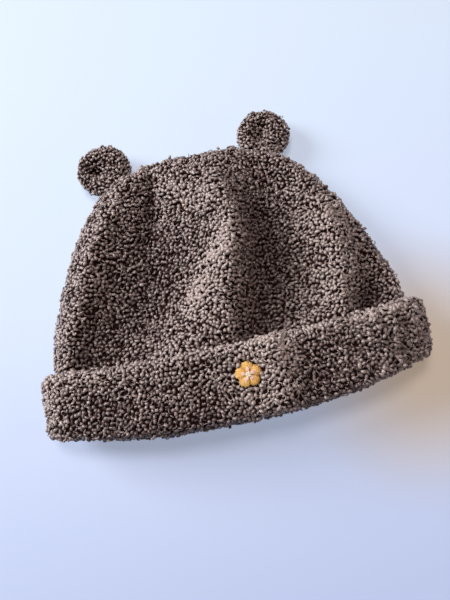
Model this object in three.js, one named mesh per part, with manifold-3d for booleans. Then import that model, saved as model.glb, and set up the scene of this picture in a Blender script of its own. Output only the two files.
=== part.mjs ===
// A baby's winter hat in curly fleece, with a turned-up cuff, two round ears in the top seam and
// a small stitched flower on the cuff. It lies on its back on a table with its front up, slack and
// a little puffed, as such a hat does when it is laid down.
// Millimetres. +Z up, +Y from the mouth to the top of the crown, -X the left of the picture.
// The origin is the middle of the hat's box, on the table.

import * as THREE from "three";
import { mergeVertices } from "three/addons/utils/BufferGeometryUtils.js";
import Module from "manifold-3d";

const wasm = await Module();
wasm.setup();

// Driving dimensions
const CROWN_WIDTH = 206; // flat width of the crown where the cuff ends
const CROWN_LENGTH = 164; // from the crown's lower edge to the middle of its top seam
const CROWN_WALL = 4.5; // knitted backing with its curls
const SLACK_HEIGHT = 25; // height of the hollow inside, where the front stands highest
const TABLE_PRESS = 2; // how far the slack back would hang below the table if it could
const LIFT_RUN = 42; // length over which the back comes down from the cuff to the table
const CUFF_DEPTH = 40; // from the fold at the mouth to the cuff's upper edge
const CUFF_WALL = 7; // turned-up cloth, doubled and loose
const CUFF_FOLD = 6; // how far the fold reaches past the crown's lower edge
const MOUTH_BOW = 14; // how far the ends of the mouth rise above its middle
const EAR_WIDTH = 33.5;
const EAR_THICKNESS = 12.5;
const EAR_SINK = 3.5; // how much of an ear's width the top seam swallows
const EAR_DIMPLE = 4.5; // depth of the hollow in an ear's front
const FLOWER_WIDTH = 14.5;
const FLOWER_THICKNESS = 1.4; // raised satin stitches
const FLOWER_OFFSET = 2.4; // the flower is sewn a little to the right of the middle
const GAP = 0.3; // left between pieces that touch

// Shape numbers
const SECTION_POWER = 2.6; // roundness of a cross-section: 2 is an ellipse, more is boxier
const BOW_POWER = 2.5;
const LEAST_INNER = 0.35; // share of a height that is left inside, where two walls nearly meet
const FOLD_START = 0.16; // share of the crown past the cuff over which the long folds begin
const FOLD_END = 0.3; // share of it over which they fade out below the top
const EAR_RIM_POWER = 0.75; // an ear's rim is rounder than an ellipse's
const EAR_FACE_POWER = 0.85;
const DIMPLE_ACROSS = 0.26; // the hollow's reach, shares of an ear's radius
const DIMPLE_ALONG = 0.42;
const FLOWER_SEAT = 0.58; // share of the cuff's depth from the fold to the flower's middle
const PETALS = 5;
const PETAL_NOTCH = 0.26; // share of the flower's radius that is cut in between two petals
const PETAL_POWER = 0.7;
const PETAL_SLOPE = 0.35; // share of the flower's thickness that is lost at its rim
const HALF_WIDTH = CROWN_WIDTH / 2;
const CUFF_TOP = CUFF_DEPTH - CUFF_FOLD - GAP; // measured from the crown's lower edge
const CUFF_LIFT = CUFF_WALL + GAP; // the cuff lies under the crown's back and lifts it

// Numbers of facets
const AROUND = 64;
const CUFF_RINGS = 5;
const CROWN_RINGS = 20;
const FOLD_STEPS = 5;
const EAR_AROUND = 24;
const EAR_RINGS = 12;
const FLOWER_AROUND = 40;
const FLOWER_RINGS = 3;

// The crown from its mouth to its top, one row for each cross-section. Columns: along, share of
// CROWN_LENGTH; half, share of half its width; front and edge, heights of the hollow under the
// front and at the side folds, shares of SLACK_HEIGHT; close, share of the section's thickness
// that is left where the top seam draws it in; bow, share of MOUTH_BOW.
const CROWN_ROWS = [
  { along: 0.0, half: 0.995, front: 0.56, edge: 0.21, close: 1, bow: 1 },
  { along: 0.12, half: 1.0, front: 0.64, edge: 0.21, close: 1, bow: 0.72 },
  { along: 0.24, half: 1.0, front: 0.72, edge: 0.2, close: 1, bow: 0.42 },
  { along: 0.34, half: 0.995, front: 0.8, edge: 0.22, close: 1, bow: 0.2 },
  { along: 0.45, half: 0.953, front: 0.9, edge: 0.27, close: 1, bow: 0.05 },
  { along: 0.568, half: 0.885, front: 0.97, edge: 0.32, close: 1, bow: 0 },
  { along: 0.689, half: 0.801, front: 0.9, edge: 0.29, close: 1, bow: 0 },
  { along: 0.79, half: 0.72, front: 0.77, edge: 0.24, close: 1, bow: 0 },
  { along: 0.865, half: 0.632, front: 0.64, edge: 0.2, close: 1, bow: 0 },
  { along: 0.92, half: 0.548, front: 0.55, edge: 0.18, close: 1, bow: 0 },
  { along: 0.957, half: 0.44, front: 0.47, edge: 0.175, close: 0.97, bow: 0 },
  { along: 0.987, half: 0.3, front: 0.4, edge: 0.175, close: 0.8, bow: 0 },
  { along: 1.0, half: 0.0, front: 0.25, edge: 0.175, close: 0, bow: 0 },
];

// Long folds of the front, from the cuff to the top. Columns: low and high, where the fold's line
// leaves the cuff and reaches the top, and width, all shares of half the crown's width; rise,
// share of SLACK_HEIGHT, negative for a valley.
const FOLDS = [
  { low: -0.52, high: -0.13, width: 0.2, rise: -0.28 },
  { low: 0.07, high: 0.2, width: 0.13, rise: 0.17 },
  { low: 0.4, high: 0.47, width: 0.17, rise: -0.27 },
];

// Hollows where the crown slumps behind the cuff's edge. Columns: across, share of half the
// crown's width; past, how far past the cuff's edge, and reach, shares of the same; drop, share
// of SLACK_HEIGHT.
const HOLLOWS = [
  { across: -0.66, past: 0.08, reach: 0.155, drop: 0.19 },
  { across: 0.22, past: 0.06, reach: 0.14, drop: 0.26 },
  { across: 0.8, past: 0.1, reach: 0.14, drop: 0.2 },
];

// Thickness of the cuff from the fold to its upper edge. Columns: along, share of CUFF_TOP; out,
// share of CUFF_WALL.
const CUFF_ROWS = [
  { along: 0.12, out: 1.06 },
  { along: 0.4, out: 1.14 },
  { along: 0.7, out: 1.2 },
  { along: 0.9, out: 1.16 },
  { along: 0.99, out: 0.86 },
  { along: 1.04, out: 0.45 },
];

// Where each ear is sewn in. Columns: side; seat, share of CROWN_LENGTH where its middle meets the
// crown's outline; lean, degrees that it leans outwards; dimple, how far the hollow lies to the
// left of the ear's middle, share of its width; turn, degrees that the hollow leans to the left.
const EARS = [
  { name: "ear_left", side: -1, seat: 0.95, lean: 38, dimple: 0.125, turn: 38 },
  { name: "ear_right", side: 1, seat: 0.95, lean: 4, dimple: 0.125, turn: -4 },
];

const clamp01 = (v) => Math.min(1, Math.max(0, v));
const smooth = (v) => clamp01(v) ** 2 * (3 - 2 * clamp01(v));
const bell = (v) => Math.exp(-v * v);
const signedPower = (v, power) => Math.sign(v) * Math.abs(v) ** power;

// The rows above as smooth curves of one parameter, 0 at the mouth and 1 at the top.
const columns = (a, b, c) =>
  new THREE.CatmullRomCurve3(
    CROWN_ROWS.map((row) => new THREE.Vector3(row[a], row[b], row[c])),
    false,
    "catmullrom",
  );
const OUTLINE = columns("along", "half", "bow");
const HEIGHTS = columns("front", "edge", "close");

// One cross-section of the crown, in millimetres: where it lies, half its width, the height of the
// surface under it and of its side folds, and how far its front and back reach from those.
function crownSection(t) {
  const outline = OUTLINE.getPoint(t);
  const heights = HEIGHTS.getPoint(t);
  const y = outline.x * CROWN_LENGTH;
  const floor = CUFF_LIFT * (1 - smooth((y - CUFF_TOP) / LIFT_RUN));
  const edgeSlack = heights.y * SLACK_HEIGHT;
  const frontSlack = heights.x * SLACK_HEIGHT;
  const close = clamp01(heights.z);
  return {
    y,
    half: outline.y * HALF_WIDTH,
    bow: Math.max(0, outline.z) * MOUTH_BOW,
    edge: floor + CROWN_WALL + edgeSlack,
    floor,
    front: close * (CROWN_WALL + frontSlack - edgeSlack),
    back: close * (CROWN_WALL + edgeSlack + TABLE_PRESS),
  };
}

// The parameter of the cross-section that lies y from the mouth.
function parameterAt(y) {
  let low = 0;
  let high = 1;
  for (let i = 0; i < 40; i++) {
    const middle = (low + high) / 2;
    if (OUTLINE.getPoint(middle).x * CROWN_LENGTH < y) low = middle;
    else high = middle;
  }
  return low;
}

// How far the folds and hollows raise the front at a point of the plan.
function foldHeight(x, y) {
  const climb = clamp01((y - CUFF_TOP) / (CROWN_LENGTH - CUFF_TOP));
  const across = x / HALF_WIDTH;
  const start = smooth(climb / FOLD_START);
  const end = smooth((1 - climb) / FOLD_END);
  const folds = FOLDS.map(
    (f) => f.rise * bell((across - THREE.MathUtils.lerp(f.low, f.high, climb)) / f.width),
  );
  const long = folds.reduce((sum, v) => sum + v, 0) * start * end;
  const hollows = HOLLOWS.map((h) => {
    const dx = (across - h.across) * HALF_WIDTH;
    const dy = y - CUFF_TOP - h.past * HALF_WIDTH;
    return h.drop * bell(Math.hypot(dx, dy) / (h.reach * HALF_WIDTH));
  });
  return SLACK_HEIGHT * (long - hollows.reduce((sum, v) => sum + v, 0));
}

// A section grown by an outset, or shrunk where the outset is negative, as the wall's inside is.
function grown({ half, front, back, floor }, outset) {
  const sized = (size) => Math.max(size + outset, LEAST_INNER * size);
  return {
    half: outset < 0 ? half * (1 + outset / HALF_WIDTH) : half + outset,
    front: sized(front),
    back: sized(back),
    floor: Math.max(0, floor - outset),
  };
}

// One ring of points round a cross-section: the right fold, over the front, the left fold and the
// back, which lies flat on whatever is under it.
function sectionRing(section, { outset = 0, y = section.y, folded = true } = {}) {
  const { half, front, back, floor } = grown(section, outset);
  const length = outset < 0 ? y * (1 + outset / CROWN_LENGTH) : y;
  return Array.from({ length: AROUND }, (_, i) => {
    const angle = (2 * Math.PI * i) / AROUND;
    const s = signedPower(Math.cos(angle), 2 / SECTION_POWER);
    const rise = signedPower(Math.sin(angle), 2 / SECTION_POWER);
    const x = s * half;
    const py = length + section.bow * Math.abs(s) ** BOW_POWER;
    if (rise < 0) return [x, py, Math.max(floor, section.edge + rise * back)];
    const fold = folded ? foldHeight(x, py) * rise : 0;
    return [x, py, section.edge + rise * front + fold];
  });
}

// Joins rings of points into one closed skin. A ring of one point closes an end, and two such
// rings in a row leave the skin open between them.
function skin(rings, looped = false) {
  const positions = rings.flat(2);
  const index = [];
  const starts = [];
  let count = 0;
  for (const ring of rings) {
    starts.push(count);
    count += ring.length;
  }
  const joins = looped ? rings.length : rings.length - 1;
  for (let k = 0; k < joins; k++) {
    const next = (k + 1) % rings.length;
    const [a, b] = [rings[k].length, rings[next].length];
    const steps = Math.max(a, b);
    if (steps === 1) continue;
    for (let i = 0; i < steps; i++) {
      const j = (i + 1) % steps;
      const [a0, a1] = [starts[k] + (i % a), starts[k] + (j % a)];
      const [b0, b1] = [starts[next] + (i % b), starts[next] + (j % b)];
      if (a > 1) index.push(a0, a1, b0);
      if (b > 1) index.push(a1, b1, b0);
    }
  }
  return facingOut(positions, index);
}

// A geometry whose faces point out, whichever way its rings were walked.
function facingOut(positions, index) {
  const geometry = new THREE.BufferGeometry();
  geometry.setAttribute("position", new THREE.Float32BufferAttribute(positions, 3));
  const at = (i) => new THREE.Vector3().fromArray(positions, 3 * i);
  let volume = 0;
  for (let i = 0; i < index.length; i += 3)
    volume += at(index[i]).dot(at(index[i + 1]).cross(at(index[i + 2])));
  if (volume < 0) index.reverse();
  geometry.setIndex(index);
  geometry.computeVertexNormals();
  return geometry;
}

function solidOf(geometry) {
  const bare = geometry.clone();
  bare.deleteAttribute("normal");
  const merged = mergeVertices(bare, 1e-4);
  return new wasm.Manifold(
    new wasm.Mesh({
      numProp: 3,
      vertProperties: new Float32Array(merged.attributes.position.array),
      triVerts: new Uint32Array(merged.index.array),
    }),
  );
}

function geometryOf(solid) {
  const { vertProperties, triVerts } = solid.getMesh();
  const geometry = new THREE.BufferGeometry();
  geometry.setAttribute("position", new THREE.BufferAttribute(vertProperties, 3));
  geometry.setIndex(new THREE.BufferAttribute(triVerts, 1));
  geometry.computeVertexNormals();
  return geometry;
}

const FRONT_SHADE = new THREE.MeshStandardMaterial({ color: 0x6b5c57, roughness: 0.95, metalness: 0 });
const CUFF_SHADE = new THREE.MeshStandardMaterial({ color: 0x71625d, roughness: 0.95, metalness: 0 });
const EAR_SHADE = new THREE.MeshStandardMaterial({ color: 0x665752, roughness: 0.95, metalness: 0 });
const THREAD_SHADE = new THREE.MeshStandardMaterial({ color: 0xe0ab5c, roughness: 0.5, metalness: 0 });

function named(name, geometry, material) {
  const mesh = new THREE.Mesh(geometry, material);
  mesh.name = name;
  return mesh;
}

// The cross-sections shared by the crown and the cuff's inside, then those on to the top, closer
// together towards the top, where the outline turns.
const CUFF_STATIONS = Array.from({ length: CUFF_RINGS }, (_, i) =>
  parameterAt((CUFF_TOP * i) / (CUFF_RINGS - 1)),
);
const UPPER_STATIONS = Array.from({ length: CROWN_RINGS - 1 }, (_, i) => {
  const share = Math.sin((((i + 1) / CROWN_RINGS) * Math.PI) / 2);
  return THREE.MathUtils.lerp(parameterAt(CUFF_TOP), 1, (share + (i + 1) / CROWN_RINGS) / 2);
});
const STATIONS = [...CUFF_STATIONS, ...UPPER_STATIONS];

function topPoint(outset = 0) {
  const top = crownSection(1);
  return [[0, top.y + outset, top.edge]];
}

// Crown: a soft shell, open at the mouth and closed along the top seam.
function crown() {
  const sections = STATIONS.map(crownSection);
  const outside = sections.map((section) => sectionRing(section));
  const inside = sections.map((section) => sectionRing(section, { outset: -CROWN_WALL }));
  const rings = [...outside, topPoint(), topPoint(-CROWN_WALL), ...inside.reverse()];
  return named("crown", skin(rings, true), FRONT_SHADE);
}

// The crown filled in and grown by the gap, to cut what is sewn onto it.
function crownEnvelope() {
  const sections = STATIONS.map(crownSection);
  const rings = sections.map((section) => sectionRing(section, { outset: GAP }));
  const mouth = [[0, 0, sections[0].edge]];
  return solidOf(skin([mouth, ...rings, topPoint(GAP)]));
}

// The cuff's thickness at a height above the crown's lower edge.
function cuffOut(y) {
  const share = y / CUFF_TOP;
  const rows = [{ along: 0, out: 1 }, ...CUFF_ROWS];
  const k = Math.min(
    rows.length - 2,
    Math.max(0, rows.findIndex((row) => row.along > share) - 1),
  );
  const [a, b] = [rows[k], rows[k + 1]];
  const blend = clamp01((share - a.along) / (b.along - a.along));
  return CUFF_WALL * THREE.MathUtils.lerp(a.out, b.out, blend);
}

// Cuff: the lower edge turned out and up over the crown, in one ring. Its inside follows the
// crown's smooth form, its fold wraps the crown's lower edge and its upper edge is a soft roll.
function cuff() {
  const ring = (y, outset) =>
    sectionRing(crownSection(parameterAt(Math.max(0, y))), { outset, y, folded: false });
  const inside = [...CUFF_STATIONS]
    .reverse()
    .map((t) => sectionRing(crownSection(t), { outset: GAP, folded: false }));
  const mouth = crownSection(0);
  const foldMiddle = (CUFF_WALL - CROWN_WALL) / 2;
  const foldReach = (CUFF_WALL + CROWN_WALL) / 2;
  const fold = Array.from({ length: FOLD_STEPS + 1 }, (_, i) => {
    const angle = Math.PI * (i / FOLD_STEPS - 0.5);
    const y = -GAP - CUFF_FOLD * Math.cos(angle);
    return foldRing(mouth, y, foldMiddle + foldReach * Math.sin(angle));
  });
  const neck = foldRing(mouth, -GAP, GAP);
  const outside = CUFF_ROWS.map((row) => ring(row.along * CUFF_TOP, row.out * CUFF_WALL));
  return named("cuff", skin([...inside, neck, ...fold, ...outside], true), CUFF_SHADE);
}

// A ring of the fold at the mouth, where an outset below zero is the crown's wall seen end on.
function foldRing(mouth, y, outset) {
  const outer = sectionRing(mouth, { outset: Math.max(0, outset), y, folded: false });
  if (outset >= 0) return outer;
  const edge = sectionRing(mouth, { y, folded: false });
  const inner = sectionRing(mouth, { outset: -CROWN_WALL, y, folded: false });
  const share = -outset / CROWN_WALL;
  return edge.map(([x, , z], i) => {
    const [innerX, , innerZ] = inner[i];
    const lerp = THREE.MathUtils.lerp;
    return [lerp(x, innerX, share), edge[i][1], lerp(z, innerZ, share)];
  });
}

// Where an ear's middle lies: out from the crown's outline at its seat, the way the ear leans.
function earMiddle({ side, seat, lean }) {
  const here = crownSection(parameterAt(seat * CROWN_LENGTH));
  const out = EAR_WIDTH / 2 - EAR_SINK;
  const angle = THREE.MathUtils.degToRad(lean);
  return {
    x: side * (here.half + out * Math.sin(angle)),
    y: here.y + out * Math.cos(angle),
    z: Math.max(here.edge, EAR_THICKNESS / 2),
  };
}

// Ear: a padded disc with a hollow in its front, trimmed where it enters the top seam.
function ear(row, envelope) {
  const radius = EAR_WIDTH / 2;
  const middle = earMiddle(row);
  const turn = THREE.MathUtils.degToRad(row.turn);
  const point = (angle, latitude) => {
    const reach = radius * Math.cos(latitude) ** EAR_RIM_POWER;
    const [x, y] = [reach * Math.cos(angle), reach * Math.sin(angle)];
    const rise = signedPower(Math.sin(latitude), EAR_FACE_POWER);
    const dx = x + row.dimple * EAR_WIDTH;
    const across = dx * Math.cos(turn) + y * Math.sin(turn);
    const along = y * Math.cos(turn) - dx * Math.sin(turn);
    const hollow = bell(Math.hypot(across / DIMPLE_ACROSS, along / DIMPLE_ALONG) / radius);
    const z = (rise * EAR_THICKNESS) / 2 - EAR_DIMPLE * hollow * Math.max(0, rise);
    return [middle.x + x, middle.y + y, middle.z + z];
  };
  const rings = Array.from({ length: EAR_RINGS - 1 }, (_, k) => {
    const latitude = Math.PI * ((k + 1) / EAR_RINGS - 0.5);
    return Array.from({ length: EAR_AROUND }, (_, i) =>
      point((2 * Math.PI * i) / EAR_AROUND, latitude),
    );
  });
  const disc = skin([[point(0, -Math.PI / 2)], ...rings, [point(0, Math.PI / 2)]]);
  const outer = solidOf(disc)
    .subtract(envelope)
    .decompose()
    .sort((a, b) => b.volume() - a.volume())[0];
  return named(row.name, geometryOf(outer), EAR_SHADE);
}

// Height of the cuff's outside above the table at a point of the plan.
function cuffFrontHeight(x, y) {
  const section = crownSection(parameterAt(Math.max(0, y)));
  const { half, front } = grown(section, cuffOut(y));
  const s = clamp01(Math.abs(x) / half);
  return section.edge + front * (1 - s ** SECTION_POWER) ** (1 / SECTION_POWER);
}

// Flower: raised petals of satin stitch in the middle of the cuff's front.
function flower() {
  const centreY = FLOWER_SEAT * CUFF_DEPTH - CUFF_FOLD - GAP;
  const place = (share, angle, height) => {
    const swell = Math.abs(Math.cos((PETALS / 2) * (angle - Math.PI / 2))) ** PETAL_POWER;
    const reach = (FLOWER_WIDTH / 2) * share * (1 - PETAL_NOTCH * (1 - swell));
    const x = FLOWER_OFFSET + reach * Math.cos(angle);
    const y = centreY + reach * Math.sin(angle);
    return [x, y, cuffFrontHeight(x, y) + GAP + height];
  };
  const ring = (share, height) =>
    Array.from({ length: FLOWER_AROUND }, (_, i) =>
      place(share, (2 * Math.PI * i) / FLOWER_AROUND, height),
    );
  const shares = Array.from({ length: FLOWER_RINGS }, (_, i) => (i + 1) / FLOWER_RINGS);
  const under = shares.map((share) => ring(share, 0));
  const over = [...shares]
    .reverse()
    .map((share) => ring(share, FLOWER_THICKNESS * (1 - PETAL_SLOPE * share)));
  const rings = [[place(0, 0, 0)], ...under, ...over, [place(0, 0, FLOWER_THICKNESS)]];
  return named("flower", skin(rings), THREAD_SHADE);
}

const envelope = crownEnvelope();
const hat = new THREE.Group();
hat.add(crown(), cuff(), ...EARS.map((row) => ear(row, envelope)), flower());

// The middle of the hat's box, on the table, becomes the origin.
const box = new THREE.Box3().setFromObject(hat);
const middle = box.getCenter(new THREE.Vector3());
hat.position.set(-middle.x, -middle.y, -box.min.z);

export default hat;
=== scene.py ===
# The looks of a baby's hat in curly fleece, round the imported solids: cloth with its pile of curls
# as real geometry, a stitched flower, a pale table and soft daylight from the upper left.
import math
from dataclasses import dataclass

import bpy
import numpy as np
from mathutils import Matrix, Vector, noise
from mathutils.bvhtree import BVHTree


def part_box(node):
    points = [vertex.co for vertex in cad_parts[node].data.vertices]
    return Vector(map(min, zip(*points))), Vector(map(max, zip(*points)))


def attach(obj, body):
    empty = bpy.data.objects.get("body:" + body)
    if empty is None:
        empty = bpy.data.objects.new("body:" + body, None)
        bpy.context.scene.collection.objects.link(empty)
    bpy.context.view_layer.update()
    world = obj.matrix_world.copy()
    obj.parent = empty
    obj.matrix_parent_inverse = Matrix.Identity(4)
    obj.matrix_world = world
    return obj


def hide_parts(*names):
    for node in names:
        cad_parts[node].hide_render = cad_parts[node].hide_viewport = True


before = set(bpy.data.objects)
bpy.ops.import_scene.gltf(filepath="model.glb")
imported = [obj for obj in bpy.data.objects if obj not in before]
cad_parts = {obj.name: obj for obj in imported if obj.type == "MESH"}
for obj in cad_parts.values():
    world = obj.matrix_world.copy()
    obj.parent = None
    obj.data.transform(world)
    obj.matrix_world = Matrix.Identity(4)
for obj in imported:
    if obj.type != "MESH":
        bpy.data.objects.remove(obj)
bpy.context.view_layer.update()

MM = 0.001
BODY = "root"


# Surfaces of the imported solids

@dataclass
class Surface:
    """Triangles of a solid's skin, with smooth normals at its points."""
    points: np.ndarray
    triangles: np.ndarray
    normals: np.ndarray

    def centres(self):
        return self.points[self.triangles].mean(axis=1)

    def face_normals(self):
        a, b, c = (self.points[self.triangles[:, k]] for k in range(3))
        across = np.cross(b - a, c - a)
        return across / np.maximum(np.linalg.norm(across, axis=1, keepdims=True), 1e-18)

    def only(self, keep):
        return Surface(self.points, self.triangles[keep], self.normals)


def node_surface(name):
    """A node's skin, with the points merged that its faces share."""
    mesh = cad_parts[name].data
    flat = np.empty(len(mesh.vertices) * 3)
    mesh.vertices.foreach_get("co", flat)
    mesh.calc_loop_triangles()
    corners = np.empty(len(mesh.loop_triangles) * 3, dtype=np.int64)
    mesh.loop_triangles.foreach_get("vertices", corners)
    points, place = np.unique(np.round(flat.reshape(-1, 3), 7), axis=0, return_inverse=True)
    return with_normals(points, place.reshape(-1)[corners].reshape(-1, 3))


def with_normals(points, triangles):
    """A skin with the smooth normals that its triangles give, larger ones counting for more."""
    a, b, c = (points[triangles[:, k]] for k in range(3))
    across = np.cross(b - a, c - a)
    normals = np.zeros_like(points)
    for k in range(3):
        np.add.at(normals, triangles[:, k], across)
    normals /= np.maximum(np.linalg.norm(normals, axis=1, keepdims=True), 1e-18)
    return Surface(points, triangles, normals)


def refined(surface):
    """The same skin with every triangle cut in four."""
    edges = np.sort(surface.triangles[:, [0, 1, 1, 2, 2, 0]].reshape(-1, 2), axis=1)
    edges, place = np.unique(edges, axis=0, return_inverse=True)
    middles = len(surface.points) + place.reshape(-1, 3)
    points = np.concatenate([surface.points, surface.points[edges].mean(axis=1)])
    a, b, c = surface.triangles.T
    ab, bc, ca = middles.T
    triangles = np.concatenate([
        np.stack(corners, axis=1)
        for corners in ((a, ab, ca), (ab, b, bc), (ca, bc, c), (ab, bc, ca))
    ])
    return with_normals(points, triangles)


def smooth_step(low, high, value):
    t = np.clip((value - low) / (high - low), 0, 1)
    return t * t * (3 - 2 * t)


def tree_of(surface):
    return BVHTree.FromPolygons(surface.points.tolist(), surface.triangles.tolist())


RAY_START = 0.02 * MM


def faces_toward(surface, tree, reach):
    """Which triangles look at the tree's skin from nearer than reach."""
    hits = []
    for centre, normal in zip(surface.centres(), surface.face_normals()):
        start = Vector(centre + normal * RAY_START)
        hits.append(tree.ray_cast(start, Vector(normal), reach)[0] is not None)
    return np.array(hits)


NEAR_CELLS = sorted(
    ((i, j, k) for i in range(-2, 3) for j in range(-2, 3) for k in range(-2, 3)),
    key=lambda cell: sum(c * c for c in cell),
)


ROW_HALF = 0.27
BETWEEN_ROWS = 0.55


def scatter(surface, spacing, rng, crowd=9.0, course=None):
    """Random points of a skin, no two nearer than spacing, with the normals there.

    course is the pitch of the knitted rows, which the points then favour.
    """
    a, b, c = (surface.points[surface.triangles[:, k]] for k in range(3))
    area = np.linalg.norm(np.cross(b - a, c - a), axis=1) / 2
    count = int(crowd * area.sum() / spacing ** 2)
    pick = rng.choice(len(area), size=count, p=area / area.sum())
    u, v = rng.random(count), rng.random(count)
    flip = u + v > 1
    u[flip], v[flip] = 1 - u[flip], 1 - v[flip]
    weights = np.stack([1 - u - v, u, v], axis=1)[:, :, None]
    corners = surface.triangles[pick]
    places = (surface.points[corners] * weights).sum(axis=1)
    normals = (surface.normals[corners] * weights).sum(axis=1)
    normals /= np.linalg.norm(normals, axis=1, keepdims=True)
    if course:
        off_row = np.abs((places[:, 1] / course) % 1 - 0.5)
        kept = rng.random(count) < np.where(off_row < ROW_HALF, 1.0, BETWEEN_ROWS)
        places, normals = places[kept], normals[kept]
    grid = {}
    chosen = []
    cells = np.floor(places / (spacing / math.sqrt(3))).astype(int).tolist()
    limit = spacing ** 2
    for index, (place, cell) in enumerate(zip(places.tolist(), cells)):
        free = True
        for i, j, k in NEAR_CELLS:
            other = grid.get((cell[0] + i, cell[1] + j, cell[2] + k))
            if other is not None and sum((p - q) ** 2 for p, q in zip(place, other)) < limit:
                free = False
                break
        if free:
            grid[tuple(cell)] = place
            chosen.append(index)
    return places[chosen], normals[chosen]


# Folds of the slack cloth

FOLD_ALONG = (-50, -25, 0, 20, 42, 66)


@dataclass
class Fold:
    """A line of the crown's front that runs up a fold: where it is and how high it stands, in mm.

    Both are given at the distances up the hat in FOLD_ALONG.
    """
    across: tuple
    rise: tuple


FOLDS = [
    Fold(across=(-104, -98, -90, -79, -62, -44), rise=(0, 0, 0, 0, 0, 0)),
    Fold(across=(-96, -88, -78, -69, -54, -40), rise=(1.5, 3.0, 3.5, 3.2, 1.8, 0)),
    Fold(across=(-84, -73, -63, -58, -47, -37), rise=(-6.5, -6.0, -5.0, -3.8, -1.0, 0)),
    Fold(across=(-68, -60, -52, -49, -41, -33), rise=(-5.0, -7.0, -6.4, -4.8, -1.5, 0)),
    Fold(across=(-54, -48, -38, -36, -30, -27), rise=(-3.5, -7.6, -8.6, -8.8, -7.5, -4.0)),
    Fold(across=(-38, -36, -27, -22, -20, -19), rise=(-1.0, -7.2, -7.9, -3.2, 1.4, 1.0)),
    Fold(across=(-24, -23, -10, 1, -4, -8), rise=(0.2, -3.0, -3.6, -0.8, 1.4, 1.0)),
    Fold(across=(-12, -11, 0, 6, 3, 0), rise=(1.4, 4.4, 1.8, 2.2, 2.1, 1.0)),
    Fold(across=(-1, 1, 9, 13, 9, 8), rise=(0.8, 7.0, 8.6, 6.4, 2.8, 1.0)),
    Fold(across=(11, 18, 23, 26, 24, 24), rise=(-9.8, -10.4, -9.8, -9.2, -7.2, -3.0)),
    Fold(across=(27, 36, 46, 47, 37, 29), rise=(-6.0, -8.8, -7.6, -7.0, -6.8, -2.5)),
    Fold(across=(62, 69, 70, 67, 50, 37), rise=(1.5, 4.6, 4.4, 2.2, -5.5, -1.8)),
    Fold(across=(80, 88, 82, 75, 57, 41), rise=(-11.0, -4.0, 0.5, 0.3, -3.0, -1.0)),
    Fold(across=(104, 98, 90, 79, 62, 44), rise=(0, 0, 0, 0, 0, 0)),
]
FOLD_TOP = (56, 72)
RIDGE_FOOT = (-53, -44)
VALLEY_FOOT = (-60, -49)
FRONT_WALL = (6, 13)
FOLD_STRAIGHT = 0.65
SMALL_FOLDS = 0.9
SMALL_FOLD_SIZE = 17


@dataclass
class Dent:
    """A round hollow of the crown's front, or a bump where deep is negative. In mm."""
    x: float
    y: float
    wide: float
    long: float
    deep: float


DENTS = [
    Dent(x=-13, y=47, wide=6, long=7, deep=-1.8),
    Dent(x=1, y=35, wide=6, long=7, deep=-1.8),
    Dent(x=-3, y=66, wide=2.2, long=14, deep=2.4),
]


def crown_relief(points):
    """How far the crown's front stands off the solid's, by the folds of its cloth, in mm."""
    x, y, z = (points / MM).T
    rise = np.zeros_like(x)
    for left, right in zip(FOLDS, FOLDS[1:]):
        low, high = np.interp(y, FOLD_ALONG, left.across), np.interp(y, FOLD_ALONG, right.across)
        low_rise, high_rise = np.interp(y, FOLD_ALONG, left.rise), np.interp(y, FOLD_ALONG, right.rise)
        t = (x - low) / (high - low)
        smooth = np.clip(t, 0, 1)
        smooth = FOLD_STRAIGHT * smooth + (1 - FOLD_STRAIGHT) * smooth * smooth * (3 - 2 * smooth)
        within = (t >= 0) & (t < 1)
        rise = np.where(within, low_rise + (high_rise - low_rise) * smooth, rise)
    rise *= 1 - smooth_step(*FOLD_TOP, y)
    for dent in DENTS:
        rise -= dent.deep * np.exp(-((x - dent.x) / dent.wide) ** 2 - ((y - dent.y) / dent.long) ** 2)
    rise += SMALL_FOLDS * waves(points, SMALL_FOLD_SIZE)
    foot = np.where(rise > 0, smooth_step(*RIDGE_FOOT, y), smooth_step(*VALLEY_FOOT, y))
    return rise * foot * smooth_step(*FRONT_WALL, z)


def waves(points, size):
    """Soft random waves of about size in mm, from -1 to 1."""
    return np.array([noise.noise(Vector(point / (size * MM))) for point in points])


@dataclass
class Lump:
    """How high the cuff's front stands at one place along it, in mm."""
    x: float
    rise: float


CUFF_LUMPS = [
    Lump(x=-112, rise=0), Lump(x=-100, rise=1.2), Lump(x=-84, rise=-0.4), Lump(x=-66, rise=-1.8),
    Lump(x=-46, rise=-1.4), Lump(x=-26, rise=-0.7), Lump(x=-8, rise=-0.6), Lump(x=4, rise=0.2),
    Lump(x=19, rise=3.4), Lump(x=34, rise=-2.0), Lump(x=58, rise=-0.4), Lump(x=80, rise=1.4),
    Lump(x=94, rise=-0.8), Lump(x=112, rise=0),
]
SMALL_LUMPS = 0.5
SMALL_LUMP_SIZE = 12
RIM_RISE = 2.2
RIM_BAND = (-88, -57)
RIM_MIDDLE = 0.55
CUFF_FRONT = (20, 30)


@dataclass
class RubAndLight:
    """A streak of the pile, painted lighter for the light on crests and rims, or darker where pale is below
    0 for the shade in valleys, dips and under edges; its curls are made larger there, or smaller where pale
    is below 0. In mm.
    """
    start: tuple
    end: tuple
    wide: float
    pale: float


# Painted light: the paler streaks lie on the lit crest, top and right ridge; painted shade: the darker ones
# lie in the valleys and at the lower right
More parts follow.
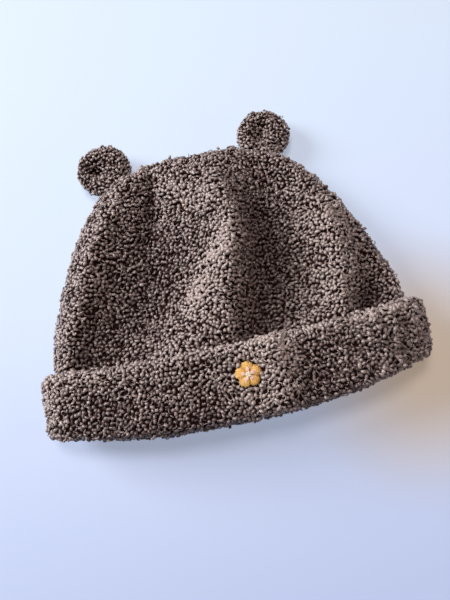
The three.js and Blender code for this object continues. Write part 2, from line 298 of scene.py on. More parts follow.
CROWN_RUBS_AND_LIGHT = [
    RubAndLight(start=(-18, -26), end=(9, 9), wide=7, pale=1.0),
    RubAndLight(start=(-15, 47), end=(1, 34), wide=7, pale=0.35),
    RubAndLight(start=(66, 10), end=(62, -40), wide=11, pale=0.45),
    RubAndLight(start=(-14, 57), end=(20, 57), wide=8, pale=0.16),
    RubAndLight(start=(31, 28), end=(16, -48), wide=10, pale=-0.32),
    RubAndLight(start=(-72, -18), end=(-86, -40), wide=8, pale=-0.16),
    RubAndLight(start=(-33, 48), end=(-38, 24), wide=6, pale=-0.25),
    RubAndLight(start=(78, -46), end=(88, -34), wide=8, pale=-0.25),
]
# Painted light: the paler streaks lie on the cuff's lit rim, its left end and its face round the flower;
# painted shade: the darker ones lie in its dips and along its lower edge
CUFF_RUBS_AND_LIGHT = [
    RubAndLight(start=(7, -82), end=(18, -60), wide=14, pale=1.0),
    RubAndLight(start=(-98, -54), end=(100, -54), wide=4, pale=0.35),
    RubAndLight(start=(-106, -76), end=(-106, -60), wide=6, pale=0.3),
    RubAndLight(start=(-94, -72), end=(-74, -74), wide=11, pale=-0.14),
    RubAndLight(start=(-60, -70), end=(-16, -74), wide=10, pale=0.12),
    RubAndLight(start=(44, -70), end=(92, -70), wide=9, pale=-0.16),
    RubAndLight(start=(-94, -88), end=(40, -97), wide=7, pale=-0.28),
]


def rub_and_light_at(places, rubs_and_light):
    """How much lighter the pile is painted at each place, for light on crests and rims, or darker where it
    is below 0, for shade in valleys and under edges.
    """
    pale = np.zeros(len(places))
    flat = places[:, :2] / MM
    for rub_and_light in rubs_and_light:
        start, run = np.array(rub_and_light.start), np.subtract(rub_and_light.end, rub_and_light.start)
        t = np.clip((flat - start) @ run / (run @ run), 0, 1)
        away = np.linalg.norm(flat - start - t[:, None] * run, axis=1)
        pale += rub_and_light.pale * np.exp(-(away / rub_and_light.wide) ** 2)
    return pale


def cuff_relief(points):
    """How far the cuff's front stands off the solid's: a plump rim, and lumps along it, in mm."""
    x, y, z = (points / MM).T
    lumps = np.interp(x, [lump.x for lump in CUFF_LUMPS], [lump.rise for lump in CUFF_LUMPS])
    rim = RIM_RISE * (smooth_step(*RIM_BAND, y) - RIM_MIDDLE)
    return (lumps + rim + SMALL_LUMPS * waves(points, SMALL_LUMP_SIZE)) * smooth_step(*CUFF_FRONT, z)


def raised(surface, relief):
    """A skin moved up by a relief in mm."""
    points = surface.points.copy()
    points[:, 2] += relief * MM
    return with_normals(points, surface.triangles)


CORNER_ACROSS = (-84, -102)
CORNER_ALONG = (-66, -82)
CORNER_PULL = (-2.6, -0.7)


def cornered(surface):
    """The cuff's skin with its lower left corner drawn out, where the real one is fuller."""
    points = surface.points.copy()
    x, y, _ = (points / MM).T
    pull = smooth_step(*CORNER_ACROSS, x) * smooth_step(*CORNER_ALONG, y)
    points[:, :2] += pull[:, None] * np.array(CORNER_PULL) * MM
    return with_normals(points, surface.triangles)


# Curls

@dataclass
class Curl:
    """A tuft of the pile that has rolled itself up: a short bent strand, twisted from three."""
    share: float  # how many of the curls are of this kind
    long: float  # length of the strand, mm
    turn: float  # degrees that it bends through
    sway: bool  # bends one way and then back, not round
    thick: float  # radius of the strand, mm
    arch: float  # how far its middle stands up, mm
    taper: float  # share of its thickness that is gone at the ends
    rings: int  # rings of points along the strand


CURLS = [
    Curl(share=0.55, long=1.9, turn=60, sway=False, thick=0.92, arch=0.25, taper=0.5, rings=5),
    Curl(share=0.23, long=2.6, turn=120, sway=False, thick=0.84, arch=0.3, taper=0.45, rings=5),
    Curl(share=0.05, long=4.0, turn=260, sway=False, thick=0.62, arch=0.35, taper=0.35, rings=8),
    Curl(share=0.08, long=2.9, turn=140, sway=True, thick=0.74, arch=0.4, taper=0.45, rings=6),
    Curl(share=0.09, long=4.4, turn=220, sway=False, thick=0.26, arch=1.9, taper=0.3, rings=8),
]
CURL_VARIANTS = 6
CURL_STRAY = 0.1
CURL_LUMPS = 0.08
CURL_NOSE = 0.3
TAPER_POWER = 2.2
STRAND_LOBE = 0.15
STRAND_TWIST = 3.4


def sweep(path, radius, sides, twist=0.0, lobe=0.0):
    """Rings of points round a path, lobed at every other point where lobe isn't 0."""
    ahead = np.gradient(path, axis=0)
    ahead /= np.linalg.norm(ahead, axis=1, keepdims=True)
    side = np.cross(ahead, (0, 0, 1))
    side /= np.linalg.norm(side, axis=1, keepdims=True)
    up = np.cross(side, ahead)
    turned = 2 * math.pi * np.arange(sides) / sides + twist * np.linspace(0, 1, len(path))[:, None]
    reach = radius[:, None] * (1 + lobe * (-1.0) ** np.arange(sides))
    ring = np.cos(turned)[:, :, None] * side[:, None] + np.sin(turned)[:, :, None] * up[:, None]
    return path[:, None] + reach[:, :, None] * ring, ahead


def tube_faces(rings, sides):
    """The quads of a tube of rings, and the faces that close its ends."""
    k, j = np.meshgrid(np.arange(rings - 1), np.arange(sides), indexing="ij")
    j2 = (j + 1) % sides
    quads = np.stack([k * sides + j, k * sides + j2, (k + 1) * sides + j2, (k + 1) * sides + j], axis=-1)
    ends = np.array([np.arange(sides)[::-1], (rings - 1) * sides + np.arange(sides)])
    return quads.reshape(-1, 4), ends


def curl_shape(curl, fewer, sides, rng):
    """A curl lying on the plane: its points, its quads, its two end faces."""
    rings = curl.rings - fewer
    t = np.linspace(0, 1, rings)
    middles = (t[1:] + t[:-1]) / 2
    bend = np.abs(2 * middles - 1) - 0.5 if curl.sway else middles - 0.5
    heading = math.radians(curl.turn) * bend
    steps = np.stack([np.cos(heading), np.sin(heading)], axis=1) * curl.long / (rings - 1)
    flat = np.concatenate([np.zeros((1, 2)), np.cumsum(steps, axis=0)])
    flat -= flat.mean(axis=0)
    path = np.column_stack([flat, curl.arch * (np.cos(math.pi * (t - 0.5)) - 0.5)])
    path += rng.normal(0, curl.thick * CURL_STRAY, path.shape)
    radius = curl.thick * (1 - curl.taper * np.abs(2 * t - 1) ** TAPER_POWER)
    lobe = STRAND_LOBE if sides % 2 == 0 else 0.0
    points, ahead = sweep(path, radius, sides, STRAND_TWIST * rng.choice((-1, 1)), lobe)
    points += (points - path[:, None]) * rng.normal(0, CURL_LUMPS, (rings, sides, 1))
    points[0] -= ahead[0] * curl.thick * CURL_NOSE
    points[-1] += ahead[-1] * curl.thick * CURL_NOSE
    quads, ends = tube_faces(rings, sides)
    return points.reshape(-1, 3) * MM, quads, ends


def frames_of(normals, rng, tilt):
    """A random set of axes at each normal, leaning by up to about tilt radians."""
    count = len(normals)
    lean = normals + rng.normal(0, 1, (count, 3)) * tilt
    lean /= np.linalg.norm(lean, axis=1, keepdims=True)
    spare = rng.normal(0, 1, (count, 3))
    x = spare - (spare * lean).sum(axis=1, keepdims=True) * lean
    x /= np.linalg.norm(x, axis=1, keepdims=True)
    return np.stack([x, np.cross(lean, x), lean], axis=2)


def mesh_from(name, points, groups, values):
    """A mesh object from arrays. groups holds arrays of faces; values holds point attributes."""
    mesh = bpy.data.meshes.new(name)
    loops = np.concatenate([faces.ravel() for faces in groups])
    totals = np.concatenate([np.full(len(faces), faces.shape[1]) for faces in groups])
    starts = np.concatenate([[0], np.cumsum(totals)[:-1]])
    mesh.vertices.add(len(points))
    mesh.vertices.foreach_set("co", points.astype(np.float32).ravel())
    mesh.loops.add(len(loops))
    mesh.loops.foreach_set("vertex_index", loops.astype(np.int32))
    mesh.polygons.add(len(totals))
    mesh.polygons.foreach_set("loop_start", starts.astype(np.int32))
    mesh.polygons.foreach_set("use_smooth", np.ones(len(totals), dtype=bool))
    for key, numbers in values.items():
        mesh.attributes.new(key, "FLOAT", "POINT").data.foreach_set("value", numbers.astype(np.float32))
    mesh.update()
    mesh.validate()
    piece = bpy.data.objects.new(name, mesh)
    bpy.context.scene.collection.objects.link(piece)
    return piece


TABLE_CLEAR = 0.02 * MM
SINK = 0.3
CLUMP_SIZE = 4.5 * MM
CLUMP_RISE = 0.8
CURL_TILT = 0.3
PROUD_TILT = 0.5
PROUD_DEPTH = -0.7
RUB_SPREAD = 0.16
DEPTH_SHADE = 0.4
DEPTH_SPREAD = 0.25
SIZE_RANGE = (0.8, 1.2)
TINT_MIDDLE = 0.48
TINT_SPREAD = 0.18
TINT_RANGE = (-0.3, 1.3)
HEIGHT_SPAN = 1.6 * MM


def pile(
    name, places, normals, rng, size=1.0, fewer=0, sides=6, sink=SINK, flat=1.0, proud=0.06, painted_light=0.0,
    rub_and_light=0.0,
):
    """A joined mesh of curls, one at each place.

    fewer is how many rings of points are left out of each, sides how many points a ring has, sink
    how deep their middles lie in mm, flat how much of their height is left, proud the share that
    stands out of the rest; the next argument is how much lighter or darker each curl is painted, for
    light on ridges and shade in valleys, and the last how far its fibres are brushed apart, which closes the
    gaps.
    """
    count = len(places)
    kinds = rng.choice(len(CURLS), size=count, p=[curl.share for curl in CURLS])
    variants = rng.integers(0, CURL_VARIANTS, count)
    scales = size * rng.uniform(*SIZE_RANGE, (count, 3)) * (1 + RUB_SPREAD * np.reshape(rub_and_light, (-1, 1)))
    standing = rng.random(count) < proud
    clump = np.array([noise.noise(Vector(place / CLUMP_SIZE)) for place in places])
    lying = sink + rng.normal(0, DEPTH_SPREAD, count) - CLUMP_RISE * clump
    depth = np.where(standing, PROUD_DEPTH, lying) * MM
    tint = np.clip(rng.normal(TINT_MIDDLE, TINT_SPREAD, count), 0, 1)
    # Painted light and shade: each curl is made lighter or darker by the painted light and shade it is
    # given, and darker the deeper it lies, for the shade of the curls above it
    tint = np.clip(tint + painted_light - DEPTH_SHADE * (depth / MM - sink), *TINT_RANGE)
    axes = frames_of(normals, rng, np.where(standing, PROUD_TILT, CURL_TILT)[:, None])
    all_points, quads, ends, tints, heights = [], [], [], [], []
    start = 0
    for kind, curl in enumerate(CURLS):
        for variant in range(CURL_VARIANTS):
            chosen = np.flatnonzero((kinds == kind) & (variants == variant))
            shape, shape_quads, shape_ends = curl_shape(curl, fewer, sides, rng)
            sized = shape[None] * scales[chosen, None, :] * (1, 1, flat)
            moved = np.einsum("nij,nkj->nki", axes[chosen], sized)
            moved += (places[chosen] - normals[chosen] * depth[chosen, None])[:, None, :]
            base = start + np.arange(len(chosen))[:, None, None] * len(shape)
            quads.append((shape_quads[None] + base).reshape(-1, 4))
            ends.append((shape_ends[None] + base).reshape(-1, sides))
            all_points.append(moved.reshape(-1, 3))
            tints.append(np.repeat(tint[chosen], len(shape)))
            # Painted shade: a curl's lower side gets a lower value, which its material paints darker, for
            # the shade under it
            height = np.clip(shape[:, 2] / HEIGHT_SPAN + 0.5, 0, 1)
            heights.append(np.tile(height, len(chosen)))
            start += len(chosen) * len(shape)
    points = np.concatenate(all_points)
    points[:, 2] = np.maximum(points[:, 2], TABLE_CLEAR)
    values = {"tint": np.concatenate(tints), "height": np.concatenate(heights)}
    return mesh_from(name, points, [np.concatenate(quads), np.concatenate(ends)], values)


# Materials

def new_material(name, **sockets):
    material = bpy.data.materials.new(name)
    material.use_nodes = True
    shader = material.node_tree.nodes["Principled BSDF"]
    for key, value in sockets.items():
        shader.inputs[key.replace("_", " ")].default_value = value
    return material, material.node_tree, shader


def add_node(tree, kind, inputs=None, **settings):
    node = tree.nodes.new(kind)
    for key, value in settings.items():
        setattr(node, key, value)
    for key, value in (inputs or {}).items():
        if isinstance(value, bpy.types.NodeSocket):
            tree.links.new(value, node.inputs[key])
        else:
            node.inputs[key].default_value = value
    return node


def mapped(tree, value, span, result, **settings):
    """A value's place in a span, carried over to the result's span."""
    inputs = {"Value": value, "From Min": span[0], "From Max": span[1]}
    inputs |= {"To Min": result[0], "To Max": result[1]}
    return add_node(tree, "ShaderNodeMapRange", inputs, **settings).outputs["Result"]


def colour_ramp(tree, factor, stops):
    ramp = add_node(tree, "ShaderNodeValToRGB", {"Fac": factor})
    elements = ramp.color_ramp.elements
    while len(elements) < len(stops):
        elements.new(0.5)
    for element, (place, colour) in zip(elements, stops):
        element.position = place
        element.color = (*colour, 1)
    return ramp.outputs["Color"]


def noise_of(tree, place, scale, **settings):
    """The value of a noise texture; its scale is in cells a metre."""
    return add_node(tree, "ShaderNodeTexNoise", {"Vector": place, "Scale": scale, **settings}).outputs["Fac"]


def bump(tree, shader, height, strength, distance):
    node = add_node(tree, "ShaderNodeBump", {"Height": height, "Strength": strength, "Distance": distance})
    tree.links.new(node.outputs["Normal"], shader.inputs["Normal"])


PILE_DARK = (0.034, 0.01, 0.009)
PILE_MIDDLE = (0.137, 0.087, 0.08)
PILE_LIGHT = (0.37, 0.281, 0.254)
PILE_STOPS = ((0.28, PILE_DARK), (0.6, PILE_MIDDLE), (0.9, PILE_LIGHT))
# Painted shade: the ground between the curls is near black, far darker than the knit's backing, for the
# shade that falls between them
GROUND_DARK = (0.008, 0.002, 0.002)
GROUND_LIGHT = (0.034, 0.012, 0.01)
BACKING_DARK = (0.07, 0.05, 0.042)
BACKING_LIGHT = (0.2, 0.15, 0.128)
TINT_SHARE = 0.34
# Painted shade: how much the curls' lower sides are darkened
UNDERSIDE_SHADE_SHARE = 0.44
FIBRE_SHARE = 0.22
PATCH_SHARE = 0.16
FIBRE_SCALE = 2600.0
PATCH_SCALE = 38.0
FUZZ_SCALE = 900.0
TWIST_SCALE = 4200.0
WALE_SCALE = 290.0
COURSE_SCALE = 340.0


def pile_material(name):
    """Curls of polyester fibre: brown-grey, each curl a little lighter or darker than the next, with painted
    light and shade carried by the tint, and each curl's lower side painted darker for the shade under it.
    """
    material, tree, shader = new_material(
        name, Roughness=0.34, Specular_IOR_Level=0.74, Sheen_Weight=0.16, Sheen_Roughness=0.45,
        Sheen_Tint=(0.9, 0.82, 0.78, 1),
    )
    place = add_node(tree, "ShaderNodeTexCoord").outputs["Object"]
    tint = add_node(tree, "ShaderNodeAttribute", attribute_name="tint").outputs["Fac"]
    # Painted shade: the height attribute darkens each curl's lower side
    height = add_node(tree, "ShaderNodeAttribute", attribute_name="height").outputs["Fac"]
    fibre = noise_of(tree, place, FIBRE_SCALE, Detail=3.0, Roughness=0.65)
    patch = noise_of(tree, place, PATCH_SCALE, Detail=2.0)
    total = None
    shares = ((tint, TINT_SHARE), (height, UNDERSIDE_SHADE_SHARE), (fibre, FIBRE_SHARE), (patch, PATCH_SHARE))
    for value, share in shares:
        part = add_node(tree, "ShaderNodeMath", {0: value, 1: share}, operation="MULTIPLY").outputs[0]
        if total is None:
            total = part
        else:
            total = add_node(tree, "ShaderNodeMath", {0: total, 1: part}, operation="ADD").outputs[0]
    colour = colour_ramp(tree, total, PILE_STOPS)
    tree.links.new(colour, shader.inputs["Base Color"])
    bump(tree, shader, fibre, 0.5, 0.25 * MM)
    return material


def ground_material():
    """The knitted ground that the curls stand on, painted near black for the shade between them."""
    material, tree, shader = new_material("fleece_ground", Roughness=0.95, Specular_IOR_Level=0.1)
    place = add_node(tree, "ShaderNodeTexCoord").outputs["Object"]
    fuzz = noise_of(tree, place, FUZZ_SCALE, Detail=3.0)
    colour = colour_ramp(tree, fuzz, [(0.3, GROUND_DARK), (0.75, GROUND_LIGHT)])
    tree.links.new(colour, shader.inputs["Base Color"])
    bump(tree, shader, fuzz, 0.8, 0.6 * MM)
    return material


def backing_material():
    """The wrong side of the knit, inside the hat: fine wales and courses."""
    material, tree, shader = new_material(
        "knit_backing", Roughness=0.85, Specular_IOR_Level=0.2, Sheen_Weight=0.2, Sheen_Roughness=0.5
    )
    place = add_node(tree, "ShaderNodeTexCoord").outputs["Object"]
    wales = add_node(
        tree, "ShaderNodeTexWave",
        {"Vector": place, "Scale": WALE_SCALE, "Distortion": 1.2, "Detail": 1.0, "Detail Scale": 2.0},
        bands_direction="X",
    ).outputs["Fac"]
    courses = add_node(
        tree, "ShaderNodeTexWave",
        {"Vector": place, "Scale": COURSE_SCALE, "Distortion": 1.0, "Detail": 1.0, "Detail Scale": 2.0},
        bands_direction="Y",
    ).outputs["Fac"]
    knit = add_node(tree, "ShaderNodeMath", {0: wales, 1: courses}, operation="MULTIPLY").outputs[0]
    colour = colour_ramp(tree, knit, [(0.0, BACKING_DARK), (0.9, BACKING_LIGHT)])
    tree.links.new(colour, shader.inputs["Base Color"])
    bump(tree, shader, knit, 0.7, 0.4 * MM)
    return material


# Cloth under the pile

def cloth(name, node, surface, inset, slot, materials, inner=None):
    """A smooth skin inside a node's own, inset from it, in one or two materials."""
    points = surface.points - surface.normals * inset
    points[:, 2] = np.maximum(points[:, 2], TABLE_CLEAR)
    piece = mesh_from(name, points, [surface.triangles], {})
    for material in materials:
        piece.data.materials.append(material)
    if inner is not None:
        piece.data.polygons.foreach_set("material_index", inner.astype(np.int32))
    settle(piece, slot, node)
    return piece


def settle(piece, slot, *nodes):
    """Hide the nodes that a finished piece stands in for, and hang it on the body."""
    if nodes:
        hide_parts(*nodes)
    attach(piece, BODY)


def covered(piece, material):
    piece.data.materials.append(material)
    return piece


RNG = np.random.default_rng(11)
GROUND = ground_material()
BACKING = backing_material()
CROWN_PILE = pile_material("crown_pile")
CUFF_PILE = pile_material("cuff_pile")
EAR_PILE = pile_material("ear_pile")

CROWN_SOLID = refined(node_surface("crown"))
CROWN_CLOTH = raised(CROWN_SOLID, crown_relief(CROWN_SOLID.points))
CROWN_FINE = refined(CROWN_SOLID)
CROWN = raised(CROWN_FINE, crown_relief(CROWN_FINE.points))
CUFF_SOLID = cornered(refined(node_surface("cuff")))
CUFF_CLOTH = raised(CUFF_SOLID, cuff_relief(CUFF_SOLID.points))
CUFF_FINE = refined(CUFF_SOLID)
CUFF = raised(CUFF_FINE, cuff_relief(CUFF_FINE.points))
CROWN_TREE = tree_of(CROWN_CLOTH)
HOLLOW_REACH = 60 * MM
CUFF_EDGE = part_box("cuff")[1][1]

CROWN_SPACING = 1.88 * MM
CUFF_SPACING = 1.8 * MM
EAR_SPACING = 1.8 * MM
UNDER_CUFF = 9 * MM
FRONT_LEAN = -0.35
BACK_SHARE = 0.9
BACK = {"fewer": 1, "sides": 5, "sink": 0.8, "flat": 0.8}
COURSE_PITCH = 2.35 * MM
CLOTH_INSET = 1.2 * MM
# Painted light and shade for each mm of the cloth's relief: curls lighter on ridges, darker in valleys
RELIEF_SHADE = 0.045
TOP_SINK = 1.1
TOP_BAND = (62, 73)


def make_crown():
    inner = faces_toward(CROWN_SOLID, tree_of(CROWN_SOLID), HOLLOW_REACH)
    cloth("crown_cloth", "crown", CROWN_CLOTH, CLOTH_INSET, "crown_fleece", [GROUND, BACKING], inner)
    past_cuff = CROWN.centres()[:, 1] > CUFF_EDGE - UNDER_CUFF
    skin = CROWN.only(~np.tile(inner, 4) & past_cuff)
    places, normals = scatter(skin, CROWN_SPACING, RNG, course=COURSE_PITCH)
    front = normals[:, 2] > FRONT_LEAN
    left = places[:, 0] < 0
    for name, chosen in (("left", front & left), ("right", front & ~left)):
        # Painted light and shade from the streaks; the same values also size the curls
        rub_and_light = rub_and_light_at(places[chosen], CROWN_RUBS_AND_LIGHT)
        # Painted light and shade: curls on the folds' ridges lighter and in their valleys darker, added to
        # the painted streaks
        painted_light = RELIEF_SHADE * crown_relief(places[chosen]) + rub_and_light
        sink = SINK + TOP_SINK * smooth_step(*TOP_BAND, places[chosen, 1] / MM)
        piece = pile(
            "crown_pile_front_" + name, places[chosen], normals[chosen], RNG, size=1.12, sink=sink,
            painted_light=painted_light, rub_and_light=rub_and_light, proud=0.08,
        )
        settle(covered(piece, CROWN_PILE), "crown_fleece")
    back = ~front & (RNG.random(len(places)) < BACK_SHARE)
    piece = pile("crown_pile_back", places[back], normals[back], RNG, size=1.08, **BACK)
    settle(covered(piece, CROWN_PILE), "crown_fleece")


FLOWER_MARGIN = 0.5 * MM
FLOWER_DEPTH = 6 * MM
CROWN_TOUCH = 2 * MM
LOOSE_CURLS = 0.2
LOOSE_FROM = (40, 95)


def under_flower(places):
    """Which places the flower covers, with a narrow margin that its stitches press down."""
    middle, radius, axes = PLANE
    x, y, z = ((places - middle) @ axes).T
    outline = radius * petal_reach(np.arctan2(y, x)) + FLOWER_MARGIN
    return (np.hypot(x, y) < outline) & (np.abs(z) < FLOWER_DEPTH)


def make_cuff():
    cloth("cuff_cloth", "cuff", CUFF_CLOTH, CLOTH_INSET, "cuff_fleece", [GROUND])
    skin = CUFF.only(~faces_toward(CUFF, CROWN_TREE, CROWN_TOUCH))
    places, normals = scatter(skin, CUFF_SPACING, RNG)
    bare = under_flower(places)
    places, normals = places[~bare], normals[~bare]
    front = normals[:, 2] > FRONT_LEAN
    # Painted light and shade from the streaks; the same values also size the curls
    rub_and_light = rub_and_light_at(places[front], CUFF_RUBS_AND_LIGHT)
    # Painted light and shade: curls on the cuff's lumps and rim lighter and in its dips darker, added to the
    # painted streaks
    painted_light = 2 * RELIEF_SHADE * cuff_relief(places[front]) + rub_and_light
    loose = 1 + LOOSE_CURLS * smooth_step(*LOOSE_FROM, places[front, :1] / MM)
    piece = pile(
        "cuff_pile_front", places[front], normals[front], RNG, size=1.1 * loose, painted_light=painted_light, rub_and_light=rub_and_light,
        proud=0.1,
    )
    settle(covered(piece, CUFF_PILE), "cuff_fleece")
    piece = pile("cuff_pile_back", places[~front], normals[~front], RNG, size=1.12, **BACK)
    settle(covered(piece, CUFF_PILE), "cuff_fleece")


@dataclass
class Crease:
    """The hollow in an ear's front: its middle from the ear's, its turn in degrees, its size. In mm."""
    across: float
    along: float
    turn: float
    wide: float
    long: float
    deep: float


EAR_CREASES = {
    "ear_left": Crease(across=-4.6, along=0.5, turn=40, wide=4.8, long=7.0, deep=6.2),
    "ear_right": Crease(across=-1.6, along=0.8, turn=-12, wide=3.6, long=7.6, deep=7.0),
}


EAR_FRONT = (-1, 3)
EAR_INSET = 1.1 * MM
SEAM_REACH = 1.0 * MM


def creased(node):
    """An ear's skin with its front drawn in where the real one is sewn through."""
    surface = refined(refined(node_surface(node)))
    low, high = (Vector(corner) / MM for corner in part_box(node))
    middle = (low + high) / 2
    crease = EAR_CREASES[node]
    x, y, z = (surface.points / MM).T
    x, y = x - middle.x - crease.across, y - middle.y - crease.along
    turn = math.radians(crease.turn)
    across = (x * math.cos(turn) + y * math.sin(turn)) / crease.wide
    along = (y * math.cos(turn) - x * math.sin(turn)) / crease.long
    sink = crease.deep * np.exp(-across ** 2 - along ** 2)
    low_edge, high_edge = (middle.z + edge for edge in EAR_FRONT)
    return raised(surface, -sink * smooth_step(low_edge, high_edge, z))


def make_ear(node):
    surface = creased(node)
    seam = faces_toward(surface, CROWN_TREE, SEAM_REACH)
    pad = cloth(node + "_pad", node, surface, EAR_INSET, "ear_fleece", [GROUND])
    places, normals = scatter(surface.only(~seam), EAR_SPACING, RNG)
    piece = pile(node + "_pile", places, normals, RNG, proud=0.1)
    settle(covered(piece, EAR_PILE), "ear_fleece")


# Flower: satin stitches laid side by side over a low pad, and knots in its middle

PETALS = 5
PETAL_NOTCH = 0.26
PETAL_POWER = 0.7
STITCH_SIDES = 6
STITCH_RINGS = 8
SHADE_SPREAD = 0.07


def petal_reach(angle):
    """The flower's outline: distance from its middle, as a share of its radius."""
    swell = np.abs(np.cos(PETALS / 2 * (angle - math.pi / 2))) ** PETAL_POWER
    return 1 - PETAL_NOTCH * (1 - swell)


FLOWER_SPAN = 0.975
FLOWER_HEAD = 0.035


def flower_plane():
    """The flower's middle, its radius, and the axes of the plane that it is sewn on."""
    points = node_surface("flower").points
    low, high = points.min(axis=0), points.max(axis=0)
    middle = points.mean(axis=0)
    spread = np.linalg.svd(points - middle, full_matrices=False)[2]
    normal = spread[2] * math.copysign(1, spread[2][2])
    x_axis = np.cross((0, 1, 0), normal)
    x_axis /= np.linalg.norm(x_axis)
    middle[:2] = (low[:2] + high[:2]) / 2
    middle[1] -= (high[0] - low[0]) * FLOWER_HEAD
    axes = np.stack([x_axis, np.cross(normal, x_axis), normal], axis=1)
    return middle, (high[0] - low[0]) / 2 / FLOWER_SPAN, axes


@dataclass
class Stitch:
    """A kind of stitch: the radius of its thread, how far it arches, how high it starts. In mm."""
    thick: float
    lift: float
    base: float


PETAL = Stitch(thick=0.3, lift=0.75, base=0.1)
HEART = Stitch(thick=0.24, lift=0.55, base=0.62)
KNOT = Stitch(thick=0.27, lift=0.42, base=1.0)


def strand(start, end, stitch, fall=0.0):
    """One stitch: a thin arched tube between two places in the flower's plane, in mm."""
    t = np.linspace(0, 1, STITCH_RINGS)[:, None]
    path = np.array([*start, stitch.base])[None] * (1 - t) + np.array([*end, stitch.base])[None] * t
    path[:, 2] += (stitch.lift - fall) * np.sin(math.pi * t[:, 0]) ** 0.5
    points, _ = sweep(path, np.full(STITCH_RINGS, stitch.thick), STITCH_SIDES)
    return points.reshape(-1, 3)


def stitched(name, strands, shades, plane, rng):
    """A joined mesh of stitches, set into the flower's plane."""
    middle, _, axes = plane
    quads, ends = tube_faces(STITCH_RINGS, STITCH_SIDES)
    base = np.arange(len(strands))[:, None, None] * STITCH_RINGS * STITCH_SIDES
    points = np.concatenate(strands) * MM @ axes.T + middle
    per_strand = np.clip(np.array(shades) + rng.normal(0, SHADE_SPREAD, len(strands)), 0, 1)
    values = {"shade": np.repeat(per_strand, STITCH_RINGS * STITCH_SIDES)}
    faces = [(quads[None] + base).reshape(-1, 4), (ends[None] + base).reshape(-1, STITCH_SIDES)]
    piece = mesh_from(name, points, faces, values)
    piece.data.materials.append(THREAD)
    settle(piece, "embroidery_thread", "flower")


def thread_material():
    """Rayon thread, shiny along its twist: gold petals, pale pink hearts, cream knots."""
    material, tree, shader = new_material(
        "embroidery_thread", Roughness=0.35, Specular_IOR_Level=0.6, Sheen_Weight=0.2,
        Sheen_Roughness=0.3,
    )
    place = add_node(tree, "ShaderNodeTexCoord").outputs["Object"]
    shade = add_node(tree, "ShaderNodeAttribute", attribute_name="shade").outputs["Fac"]
    colour = colour_ramp(tree, shade, [
        (0.0, (0.42, 0.2, 0.045)), (0.3, (0.78, 0.42, 0.1)), (0.5, (0.86, 0.52, 0.17)),
        (0.62, (0.82, 0.5, 0.4)), (0.78, (0.88, 0.6, 0.5)), (1.0, (0.92, 0.82, 0.62)),
    ])
    tree.links.new(colour, shader.inputs["Base Color"])
    twist = noise_of(tree, place, TWIST_SCALE, Detail=2.0)
    bump(tree, shader, twist, 0.5, 0.12 * MM)
    return material


GOLD, PINK, CREAM = 0.4, 0.7, 0.97
EDGE_SHADE = 0.34
PETAL_STITCHES = 13
PETAL_START = 1.1
PETAL_WIDTH = 0.94
PETAL_FALL = 0.35
HEART_STITCHES = 5
HEART_START = 1.0
HEART_TURN = 0.26
HEART_REACH = 0.62
HEART_ROUND = 0.12
KNOTS = 6
KNOT_RING = 0.95
KNOT_HALF = 0.42


def make_flower(plane):
    radius = plane[1] / MM
    rng = np.random.default_rng(5)
    strands, shades = [], []
    for petal in range(PETALS):
        middle = math.pi / 2 + petal * 2 * math.pi / PETALS
        for share in np.linspace(-1, 1, PETAL_STITCHES):
            angle = middle + share * math.pi / PETALS * PETAL_WIDTH
            reach = radius * petal_reach(angle) * rng.uniform(0.95, 1.02)
            ray = np.array([math.cos(angle), math.sin(angle)])
            strands.append(strand(ray * PETAL_START, ray * reach, PETAL, PETAL_FALL * share ** 2))
            shades.append(GOLD - EDGE_SHADE * abs(share) ** 4)
        for share in np.linspace(-1, 1, HEART_STITCHES):
            angle = middle + share * HEART_TURN
            reach = radius * (HEART_REACH - HEART_ROUND * share ** 2) * rng.uniform(0.92, 1.06)
            ray = np.array([math.cos(angle), math.sin(angle)])
            strands.append(strand(ray * HEART_START, ray * reach, HEART))
            shades.append(PINK)
    for knot in range(KNOTS + 1):
        angle = 2 * math.pi * knot / KNOTS
        place = np.array([math.cos(angle), math.sin(angle)]) * (0 if knot == KNOTS else KNOT_RING)
        for turn in (0, math.pi / 3, 2 * math.pi / 3):
            ray = np.array([math.cos(turn + angle), math.sin(turn + angle)]) * KNOT_HALF
            strands.append(strand(place - ray, place + ray, KNOT))
            shades.append(CREAM)
    stitched("flower_stitches", strands, shades, plane, rng)


THREAD = thread_material()
PLANE = flower_plane()

make_crown()
make_cuff()
make_ear("ear_left")
make_ear("ear_right")
make_flower(PLANE)


# Table, light and camera

# Painted light: the table is darker on the near side and lighter further off, for the fall of the window's
# light
TABLE_NEAR = (0.258, 0.292, 0.414)
TABLE_MIDDLE = (0.33, 0.372, 0.473)
TABLE_FAR = (0.338, 0.384, 0.456)
# Painted warm shadow: a darker, warm patch of the table right of the hat's cuff, its middle and reach in
# metres
TABLE_WARM_SHADOW = (0.315, 0.255, 0.205)
TABLE_SPAN = (-0.2, 0.15)
TABLE_SIZE = 60
WARM_SHADOW_PLACE = (0.112, -0.083, 0)
WARM_SHADOW_REACH = (0.01, 0.095)


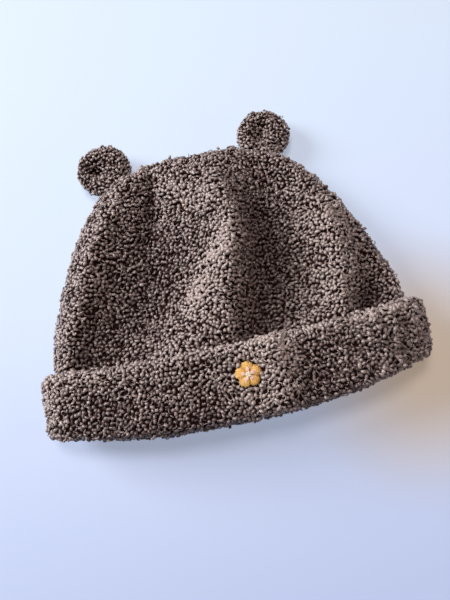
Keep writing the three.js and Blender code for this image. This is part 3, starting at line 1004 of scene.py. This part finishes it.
def make_table():
    bpy.ops.mesh.primitive_plane_add(size=TABLE_SIZE)
    table = bpy.context.object
    table.name = "table"
    # Painted light: the table gives off light in its own colour, which lifts the shadows on it
    material, tree, shader = new_material(
        "table_white", Roughness=0.6, Specular_IOR_Level=0.2, Emission_Strength=1.0,
    )
    place = add_node(tree, "ShaderNodeTexCoord").outputs["Object"]
    depth = add_node(tree, "ShaderNodeSeparateXYZ", {"Vector": place}).outputs["Y"]
    span = mapped(tree, depth, TABLE_SPAN, (0.0, 1.0))
    # Painted light: darker on the near side, lighter further off
    cool = colour_ramp(tree, span, [(0.0, TABLE_NEAR), (0.55, TABLE_MIDDLE), (1.0, TABLE_FAR)])
    # Painted warm shadow: the table turns to the warm colour near that patch
    away = add_node(
        tree, "ShaderNodeVectorMath", {0: place, 1: WARM_SHADOW_PLACE}, operation="DISTANCE",
    ).outputs["Value"]
    warm_shadow = mapped(tree, away, WARM_SHADOW_REACH, (1.0, 0.0), interpolation_type="SMOOTHSTEP")
    colour = add_node(
        tree, "ShaderNodeMix", {"Factor": warm_shadow, "A": cool, "B": (*TABLE_WARM_SHADOW, 1)}, data_type="RGBA",
    ).outputs["Result"]
    tree.links.new(colour, shader.inputs["Base Color"])
    # Painted light: the table's colour is also the light it gives off
    tree.links.new(colour, shader.inputs["Emission Color"])
    table.data.materials.append(material)


@dataclass
class Light:
    """A round soft light that looks at the hat: place and size in metres, power in watts."""
    name: str
    place: tuple
    size: float
    power: float
    colour: tuple


LIGHTS = [
    Light(name="window", place=(-1.6, 0.98, 0.95), size=1.1, power=63, colour=(0.9, 0.96, 1)),
    Light(name="ceiling", place=(-0.12, 0.35, 1.38), size=0.45, power=11.5, colour=(1, 0.95, 0.93)),
    Light(name="lamp", place=(1.3, -0.5, 0.5), size=0.8, power=2.6, colour=(1, 0.74, 0.55)),
]
WALL = (0.24, 0.24, 0.265)
CEILING = (0.03, 0.027, 0.026)
ROOM_STOPS = ((0.0, WALL), (0.3, WALL), (0.42, CEILING), (1.0, CEILING))
BRIGHT_SIDE = (-0.5, 0.87, 0)
SIDE_STRENGTH = (0.35, 1.75)


def add_light(light):
    data = bpy.data.lights.new(light.name, "AREA")
    data.shape = "DISK"
    data.size = light.size
    data.energy = light.power
    data.color = light.colour
    lamp = bpy.data.objects.new(light.name, data)
    lamp.location = light.place
    lamp.rotation_euler = (-Vector(light.place)).to_track_quat("-Z", "Y").to_euler()
    bpy.context.scene.collection.objects.link(lamp)


def make_light():
    world = bpy.data.worlds.new("daylight")
    bpy.context.scene.world = world
    world.use_nodes = True
    tree = world.node_tree
    way = add_node(tree, "ShaderNodeTexCoord").outputs["Generated"]
    height = add_node(tree, "ShaderNodeSeparateXYZ", {"Vector": way}).outputs["Z"]
    room = colour_ramp(tree, height, ROOM_STOPS)
    tree.links.new(room, tree.nodes["Background"].inputs["Color"])
    toward = add_node(
        tree, "ShaderNodeVectorMath", {0: way, 1: BRIGHT_SIDE}, operation="DOT_PRODUCT",
    ).outputs["Value"]
    strength = mapped(tree, toward, (-1.0, 1.0), SIDE_STRENGTH)
    tree.links.new(strength, tree.nodes["Background"].inputs["Strength"])
    for light in LIGHTS:
        add_light(light)


CAMERA_AZIMUTH = -12.5
CAMERA_ELEVATION = 76
CAMERA_AIM = (1.3, -20.8, 0)
CAMERA_DISTANCE = 361.1
CAMERA_LENS = 35
CAMERA_SENSOR = 36


def make_camera():
    """A camera at the photo's angle: its turn and height in degrees, its aim and distance in mm."""
    azimuth, elevation = math.radians(CAMERA_AZIMUTH), math.radians(CAMERA_ELEVATION)
    aim = Vector(CAMERA_AIM) * MM
    distance = CAMERA_DISTANCE * MM
    back = Vector((
        math.sin(azimuth) * math.cos(elevation),
        -math.cos(azimuth) * math.cos(elevation),
        math.sin(elevation),
    ))
    data = bpy.data.cameras.new("camera")
    data.lens = CAMERA_LENS
    data.sensor_width = CAMERA_SENSOR
    data.clip_start = 0.01
    camera = bpy.data.objects.new("camera", data)
    camera.location = aim + back * distance
    camera.rotation_euler = (-back).to_track_quat("-Z", "Y").to_euler()
    bpy.context.scene.collection.objects.link(camera)
    bpy.context.scene.camera = camera


make_table()
make_light()
make_camera()
bpy.context.scene.view_settings.view_transform = "Standard"
